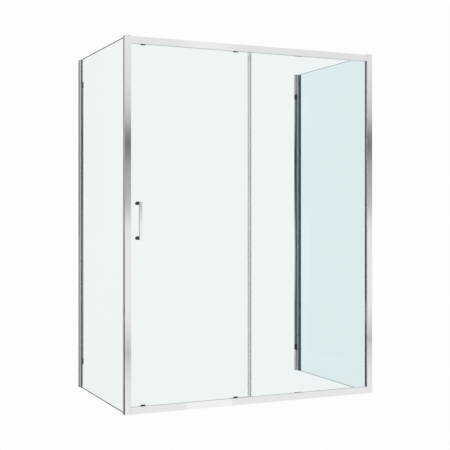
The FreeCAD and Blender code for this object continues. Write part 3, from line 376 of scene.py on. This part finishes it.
def extruded_pvc(name, haze, side_tint):
    """Clear PVC: flow lines along the strip in a clear film with a little haze. The side walls, which are
    looked through lengthwise, take up more light."""
    material, tree = new_material(name)
    place = add_node(tree, "ShaderNodeTexCoord")
    flow_mm, flow_run_mm = 1.2, 250
    flow = add_node(tree, "ShaderNodeMapping", {
        "Vector": place.outputs["Object"], "Scale": [1000 / flow_mm, 1000 / flow_mm, 1000 / flow_run_mm]})
    lines = add_node(tree, "ShaderNodeTexNoise", {"Vector": flow.outputs["Vector"], "Scale": 1.0, "Detail": 1.0})
    tint = add_node(tree, "ShaderNodeValToRGB", {"Fac": lines.outputs["Fac"]},
                    stops=[(0.3, linear("#FDFDFD")), (0.7, linear("#FEFDFE"))])
    facing = add_node(tree, "ShaderNodeSeparateXYZ", {"Vector": place.outputs["Normal"]})
    sideways = add_node(tree, "ShaderNodeMath", {0: facing.outputs["X"]}, operation="ABSOLUTE")
    side_wall = add_node(tree, "ShaderNodeMapRange", {
        "Value": sideways.outputs[0], "From Min": 0.4, "From Max": 0.6})
    passed = add_node(tree, "ShaderNodeMix", {
        0: side_wall.outputs["Result"], colour_a: tint.outputs["Color"], colour_b: linear(side_tint)},
        data_type="RGBA")
    film = add_node(tree, "ShaderNodeBsdfTransparent", {"Color": passed.outputs[mixed_colour]})
    skin = add_node(tree, "ShaderNodeBsdfPrincipled", {"Base Color": linear("#D6D5D6"), "Roughness": 0.25})
    pvc = add_node(tree, "ShaderNodeMixShader", {0: haze, 1: film.outputs[0], 2: skin.outputs[0]})
    add_node(tree, "ShaderNodeOutputMaterial", {"Surface": pvc.outputs[0]})
    return material


clear_pvc = extruded_pvc("clear_pvc", haze=0.008, side_tint="#FBFBFB")
dress(clear_pvc, "fixed_edge_seal", "jamb_magnet_seal", "door_magnet_seal")
dress(extruded_pvc("smoky_pvc", haze=0.008, side_tint="#EEEBEC"), "door_trailing_seal")
magnet_rubber = grained("magnet_rubber", ("#36383A", "#3E4042"), roughness=0.7, grain_mm=0.5)
dress(magnet_rubber, "jamb_magnet_strip", "door_magnet_strip")


# The sliding door is one more pane of the same glass, and hangs behind the fixed one. The holes for its rollers
# and its handle are drilled before it is toughened.
dress(front_glass, "door_glass")


# The bar of the bow handle is die-cast zinc, polished and chromed. Two legs hold it off the door; their black is
# painted reflection.
# Studs run through the glass, clear washers protect it, and a turned cap closes each stud on the inside.
def cap_tree():
    """Node tree that sets out turned caps: a rounded rim around a dished face, bored from behind."""
    tree, size = sized_tree("turned_caps", (
        "Radius", "Length", "Rim Width", "Edge Round", "Dish Depth", "Bore Radius", "Bore Depth"), "Caps")
    half_rim = add_node(tree, "ShaderNodeMath", {0: size["Rim Width"], 1: 0.5}, operation="MULTIPLY")
    path_radius = add_node(tree, "ShaderNodeMath", {0: size["Radius"], 1: half_rim.outputs[0]}, operation="SUBTRACT")
    path = add_node(tree, "GeometryNodeCurvePrimitiveCircle", {"Resolution": 64, "Radius": path_radius.outputs[0]})
    outline = add_node(tree, "GeometryNodeCurvePrimitiveQuadrilateral", {
        "Width": size["Rim Width"], "Height": size["Length"]})
    eased = add_node(tree, "GeometryNodeFilletCurve", {
        "Curve": outline.outputs[0], "Count": 4, "Radius": size["Edge Round"]}, mode="POLY")
    swept = add_node(tree, "GeometryNodeCurveToMesh", {
        "Curve": path.outputs[0], "Profile Curve": eased.outputs[0]})
    half_length = add_node(tree, "ShaderNodeMath", {0: size["Length"], 1: 0.5}, operation="MULTIPLY")
    rim_place = add_node(tree, "ShaderNodeCombineXYZ", {"Z": half_length.outputs[0]})
    rim = add_node(tree, "GeometryNodeTransform", {
        "Geometry": swept.outputs[0], "Translation": rim_place.outputs[0]})
    disc_length = add_node(tree, "ShaderNodeMath", {0: size["Length"], 1: size["Dish Depth"]}, operation="SUBTRACT")
    disc = add_node(tree, "GeometryNodeMeshCylinder", {
        "Vertices": 64, "Radius": path_radius.outputs[0], "Depth": disc_length.outputs[0]})
    half_disc = add_node(tree, "ShaderNodeMath", {0: disc_length.outputs[0], 1: 0.5}, operation="MULTIPLY")
    disc_place = add_node(tree, "ShaderNodeCombineXYZ", {"Z": half_disc.outputs[0]})
    face = add_node(tree, "GeometryNodeTransform", {
        "Geometry": disc.outputs["Mesh"], "Translation": disc_place.outputs[0]})
    # The boring tool is centred on the cap's back, so half of its length cuts.
    tool_length = add_node(tree, "ShaderNodeMath", {0: size["Bore Depth"], 1: 2.0}, operation="MULTIPLY")
    tool = add_node(tree, "GeometryNodeMeshCylinder", {
        "Vertices": 32, "Radius": size["Bore Radius"], "Depth": tool_length.outputs[0]})
    bored = add_node(tree, "GeometryNodeMeshBoolean", {
        "Mesh 1": face.outputs[0], "Mesh 2": tool.outputs["Mesh"]}, operation="DIFFERENCE", solver="EXACT")
    cap = add_node(tree, "GeometryNodeJoinGeometry", {"Geometry": (rim.outputs[0], bored.outputs["Mesh"])})
    copies_on_points(tree, size, cap.outputs[0], "Caps")
    return tree


# Polishing leaves swirls under the chrome, drawn coarser than the real ones: they soften the mirror in patches.
chrome, tree = new_material("chromed_zinc")
place = add_node(tree, "ShaderNodeTexCoord")
swirl_mm = 3
swirls = add_node(tree, "ShaderNodeTexNoise", {
    "Vector": place.outputs["Object"], "Scale": 1000 / swirl_mm, "Detail": 4.0, "Distortion": 1.5})
rough = add_node(tree, "ShaderNodeMapRange", {
    "Value": swirls.outputs["Fac"], "From Min": 0.3, "From Max": 0.7, "To Min": 0.04, "To Max": 0.08})
bump = add_node(tree, "ShaderNodeBump", {"Height": swirls.outputs["Fac"], "Strength": 0.03, "Distance": 0.0001})
metal = add_node(tree, "ShaderNodeBsdfPrincipled", {
    "Base Color": linear("#F0F1F2"), "Metallic": 1.0, "Roughness": rough.outputs["Result"],
    "Normal": bump.outputs["Normal"]})
add_node(tree, "ShaderNodeOutputMaterial", {"Surface": metal.outputs["BSDF"]})
dress(chrome, "handle_bar")
# Painted reflection: the legs take the black nylon finish in place of the dark surroundings that they mirror.
dress(black_nylon, "handle_legs")
dress(plated_steel, "handle_studs")
dress(clear_pvc, "handle_washers")
caps = cap_tree()
inwards = (0, 1, 0)
glass_back = 0.0235
handle_x, handle_heights = -0.6685, (0.907, 1.087)
handle_cap = {
    "Radius": 0.010, "Length": 0.008, "Rim Width": 0.0025, "Edge Round": 0.0009, "Dish Depth": 0.0008,
    "Bore Radius": 0.00205, "Bore Depth": 0.006}
set_out("handle_cap_turnings", caps, [((handle_x, glass_back, z), inwards) for z in handle_heights],
        chrome, handle_cap, "sliding_door", "polished_metal", "handle_inner_caps")


# The door hangs on two upper rollers: grooved acetal wheels on steel axles, each in a black nylon carrier.
# A bush keeps the axle off the edge of the hole in the glass, and a chromed cap closes it on the inside.
white_acetal = grained("white_acetal", ("#E6E5DF", "#EBEAE5"), roughness=0.35, grain_mm=0.8)
dress(white_acetal, "top_wheel_left", "top_wheel_right", "top_roller_bushes")
dress(black_nylon, "top_roller_carriers")
dress(plated_steel, "top_roller_axles")
roller_places, roller_heights = (-0.6405, -0.1105), (0.0233, 1.9237)
roller_cap = {
    "Radius": 0.013, "Length": 0.007, "Rim Width": 0.003, "Edge Round": 0.0011, "Dish Depth": 0.0008,
    "Bore Radius": 0.00305, "Bore Depth": 0.005}
set_out("roller_cap_turnings", caps,
        [((x, glass_back, z), inwards) for x in roller_places for z in roller_heights],
        chrome, roller_cap, "sliding_door", "polished_metal", "roller_inner_caps")


# The two lower rollers run in grey housings. Springs lift each one on its slider, and its black button
# presses it down to free the door for cleaning. The springs are folded from flat spring steel.
dress(white_acetal, "bottom_wheel_left", "bottom_wheel_right")
dress(grey_nylon, "bottom_roller_housings")
dress(black_nylon, "release_slider_left", "release_slider_right")
dress(plated_steel, "release_axle_left", "release_axle_right")
same_point = 1e-6
for side in ("left", "right"):
    cad_spring = nodes[f"release_springs_{side}"]
    folds = bmesh.new()
    folds.from_mesh(cad_spring.data)
    folds.transform(cad_spring.matrix_world)
    bmesh.ops.remove_doubles(folds, verts=folds.verts, dist=same_point)
    leaf = bpy.data.meshes.new(f"release_spring_leaves_{side}")
    folds.to_mesh(leaf)
    folds.free()
    leaf.materials.append(plated_steel)
    spring = bpy.data.objects.new(leaf.name, leaf)
    scene.collection.objects.link(spring)
    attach(spring, "sliding_door")
    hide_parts(cad_spring.name)
    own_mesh(spring)


# Rubber blocks in the rails end the door's travel before the glass can strike the post.
# They are moulded from the same pale grey EPDM as the strips of the fixed pane.
dress(pale_rubber, "door_stops")


# The studio is an even white room with a pale floor. Mirrors see a darker band in it at the height of the
# lens, as from a room behind the lights, a floor that falls off behind the object, and a few standing and
# lying cards that nothing else sees.
def tones(tree, value, stops):
    """Grey tones that follow a value."""
    low, high = stops[0][0], stops[-1][0]
    share = add_node(tree, "ShaderNodeMapRange", {"Value": value, "From Min": low, "From Max": high})
    greys = [((at - low) / (high - low), (tone, tone, tone, 1.0)) for at, tone in stops]
    return add_node(tree, "ShaderNodeValToRGB", {"Fac": share.outputs["Result"]}, stops=greys).outputs["Color"]


scene.view_settings.view_transform = "Standard"
room = bpy.data.worlds.new("studio")
scene.world = room
room.use_nodes = True
tree = room.node_tree
tree.nodes.clear()
look = add_node(tree, "ShaderNodeTexCoord")
aim = add_node(tree, "ShaderNodeSeparateXYZ", {"Vector": look.outputs["Generated"]})
front_rise = tones(tree, aim.outputs["Z"], [
    (-0.05, 0.97), (-0.012, 0.88), (0.012, 0.5), (0.05, 0.43), (0.066, 0.18), (0.079, 0.18), (0.1, 0.63),
    (0.14, 0.82), (0.18, 0.89)])
softbox = tones(tree, aim.outputs["X"], [(0.3685, 0.88), (0.3705, 1.0), (0.405, 0.96), (0.416, 0.88)])
front = add_node(tree, "ShaderNodeMix", {
    0: 1.0, colour_a: front_rise, colour_b: softbox}, data_type="RGBA", blend_type="MULTIPLY")
rear_turn = tones(tree, aim.outputs["X"], [
    (-0.85, 0.85), (-0.64, 0.5), (-0.58, 0.064), (-0.53, 0.068), (-0.495, 0.36), (-0.305, 0.36), (-0.285, 0.13),
    (-0.2, 0.15), (0.0, 0.6)])
rear_rise = tones(tree, aim.outputs["Z"], [
    (-0.05, 0.8), (0.012, 0.87), (0.07, 1.0), (0.11, 1.1), (0.17, 1.35), (0.25, 1.5)])
rear = add_node(tree, "ShaderNodeMix", {
    0: 1.0, colour_a: rear_turn, colour_b: rear_rise}, data_type="RGBA", blend_type="MULTIPLY")
turn = add_node(tree, "ShaderNodeMapRange", {"Value": aim.outputs["Y"], "From Min": -0.2, "From Max": 0.2})
seen = add_node(tree, "ShaderNodeMix", {
    0: turn.outputs["Result"], colour_a: front.outputs[mixed_colour], colour_b: rear.outputs[mixed_colour]},
    data_type="RGBA")
mirrored = add_node(tree, "ShaderNodeBackground", {"Color": seen.outputs[mixed_colour], "Strength": 1.25})
plain = add_node(tree, "ShaderNodeBackground", {"Color": linear("#FDFDFD"), "Strength": 1.0})
ray = add_node(tree, "ShaderNodeLightPath")
whole = add_node(tree, "ShaderNodeMixShader", {
    0: ray.outputs["Is Glossy Ray"], 1: plain.outputs[0], 2: mirrored.outputs[0]})
add_node(tree, "ShaderNodeOutputWorld", {"Surface": whole.outputs[0]})

reach, floor_z = 40.0, -0.001
floor_mesh = bpy.data.meshes.new("floor")
floor_mesh.from_pydata([(-reach, -reach, floor_z), (reach, -reach, floor_z), (reach, reach, floor_z),
                        (-reach, reach, floor_z)], [], [(0, 1, 2, 3)])
floor = bpy.data.objects.new("floor", floor_mesh)
scene.collection.objects.link(floor)
pale_floor, tree = new_material("pale_floor")
place = add_node(tree, "ShaderNodeTexCoord")
parts = add_node(tree, "ShaderNodeSeparateXYZ", {"Vector": place.outputs["Object"]})
before = tones(tree, parts.outputs["Y"], [
    (-6.0, 1.0), (-4.2, 0.98), (-3.2, 0.87), (-2.4, 0.72), (-2.0, 0.64), (-1.5, 0.8), (-0.8, 0.93), (-0.1, 1.0)])
beside = tones(tree, parts.outputs["X"], [(-0.77, 0.26), (-0.745, 0.03), (1.2, 0.03), (1.6, 0.95)])
depth = tones(tree, parts.outputs["Y"], [(-0.012, 0.0), (0.02, 1.0)])
sheen = add_node(tree, "ShaderNodeMix", {0: depth, colour_a: before, colour_b: beside}, data_type="RGBA")
glow = add_node(tree, "ShaderNodeEmission", {"Color": sheen.outputs[mixed_colour]})
paint = add_node(tree, "ShaderNodeBsdfPrincipled", {
    "Base Color": linear("#444444"), "Roughness": 1.0, "Specular IOR Level": 0.0,
    "Emission Color": linear("#FFFFFF"), "Emission Strength": 0.925})
ray = add_node(tree, "ShaderNodeLightPath")
whole = add_node(tree, "ShaderNodeMixShader", {
    0: ray.outputs["Is Glossy Ray"], 1: paint.outputs["BSDF"], 2: glow.outputs[0]})
add_node(tree, "ShaderNodeOutputMaterial", {"Surface": whole.outputs[0]})
floor_mesh.materials.append(pale_floor)


def card(name, corners, tone):
    """A card that only mirrors see, of one tone or of tones that follow its height. Corners without a height
    lie on the ground."""
    mesh = bpy.data.meshes.new(name)
    mesh.from_pydata([(*corner, 0)[:3] for corner in corners], [], [(0, 1, 2, 3)])
    sheet = bpy.data.objects.new(name, mesh)
    scene.collection.objects.link(sheet)
    sheet.visible_camera = sheet.visible_diffuse = sheet.visible_transmission = False
    sheet.visible_volume_scatter = sheet.visible_shadow = False
    material, tree = new_material(name)
    if isinstance(tone, list):
        place = add_node(tree, "ShaderNodeTexCoord")
        height = add_node(tree, "ShaderNodeSeparateXYZ", {"Vector": place.outputs["Object"]})
        light = {"Color": tones(tree, height.outputs["Z"], tone)}
    else:
        light = {"Strength": tone}
    glow = add_node(tree, "ShaderNodeEmission", light)
    add_node(tree, "ShaderNodeOutputMaterial", {"Surface": glow.outputs[0]})
    mesh.materials.append(material)


card("inner_card", [(-0.73, 0.02), (-0.05, 0.02), (-0.05, 0.86), (-0.73, 0.86)], 0.85)
card("rear_card", [(0.2, 0.87), (1.4, 0.87), (1.4, 1.8), (0.2, 1.8)], 0.6)
card("near_flag", [(-1.15, -0.1), (-0.75, -0.1), (-0.75, 0.8), (-1.15, 0.8)], 0.05)
card("far_flag", [(-1.6, 0.8), (-0.85, 0.8), (-1.75, 4.0), (-3.0, 4.0)], 0.13)
card("rear_flag", [(-0.745, 1.6), (-0.4, 1.6), (-0.95, 3.0), (-1.25, 3.0)], 0.04)
card("left_flag", [(-7.5, 4.7), (-2.2, 4.7), (-18.9, 38.0), (-39.0, 38.0)], 0.045)
card("rear_screen", [(0.43, 1.25, 0.03), (0.57, 1.25, 0.03), (0.57, 1.25, 1.85), (0.43, 1.25, 1.85)], [
    (0.03, 0.7), (0.19, 0.75), (0.36, 0.65), (0.57, 1.35), (0.76, 1.7), (0.92, 1.35), (1.06, 0.75), (1.27, 0.33),
    (1.44, 0.26), (1.62, 0.75), (1.85, 1.2)])
card("front_card", [(-0.404, -0.0125), (-0.289, -0.3), (-0.01, -0.3), (-0.142, -0.0125)], 1.1)


# The camera stands to the left of the front, level with the middle of the enclosure, with a long lens.
# It looks straight ahead, so upright edges stay upright, and a small shift of the lens sets the framing.
lens = bpy.data.cameras.new("camera")
lens.sensor_width = 36.0
lens.lens = 76.065
lens.shift_x = 0.0022
lens.shift_y = -0.02686
camera = bpy.data.objects.new("camera", lens)
camera.location = (-2.2867, -4.6605, 1.0370)
camera.rotation_euler = (math.radians(90), 0, math.radians(-24.277))
scene.collection.objects.link(camera)
scene.camera = camera
